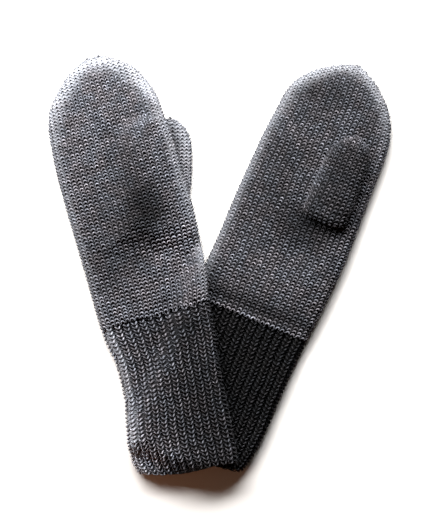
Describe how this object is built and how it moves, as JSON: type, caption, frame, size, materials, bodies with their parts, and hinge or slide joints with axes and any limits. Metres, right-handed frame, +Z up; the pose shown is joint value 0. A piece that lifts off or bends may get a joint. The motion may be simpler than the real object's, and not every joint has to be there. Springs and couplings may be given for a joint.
{
  "type": "pair of mittens",
  "caption": "Pair of knitted wool mittens with rounded tips, long ribbed cuffs and separate thumbs, lying flat in a V with one cuff over the other.",
  "frame": {"origin": "middle of the pair's bounding box, on the surface that it lies on", "axes": "+Z up from the surface, +Y towards the tips of the mittens, +X towards the wearer's right mitten"},
  "size_m": [0.221, 0.2702, 0.017],
  "materials": {
    "left_hand_yarn": "charcoal melange wool yarn, matt and slightly fuzzy",
    "left_cuff_yarn": "charcoal melange wool yarn, matt and slightly fuzzy",
    "left_thumb_yarn": "charcoal melange wool yarn, matt and slightly fuzzy",
    "right_hand_yarn": "charcoal melange wool yarn, matt and slightly fuzzy",
    "right_cuff_yarn": "charcoal melange wool yarn, matt and slightly fuzzy",
    "right_thumb_yarn": "charcoal melange wool yarn, matt and slightly fuzzy"
  },
  "bodies": {
    "root": {"left_hand": "left_hand_yarn", "left_cuff": "left_cuff_yarn", "left_thumb": "left_thumb_yarn", "right_hand": "right_hand_yarn", "right_cuff": "right_cuff_yarn", "right_thumb": "right_thumb_yarn"}
  },
  "joints": []
}
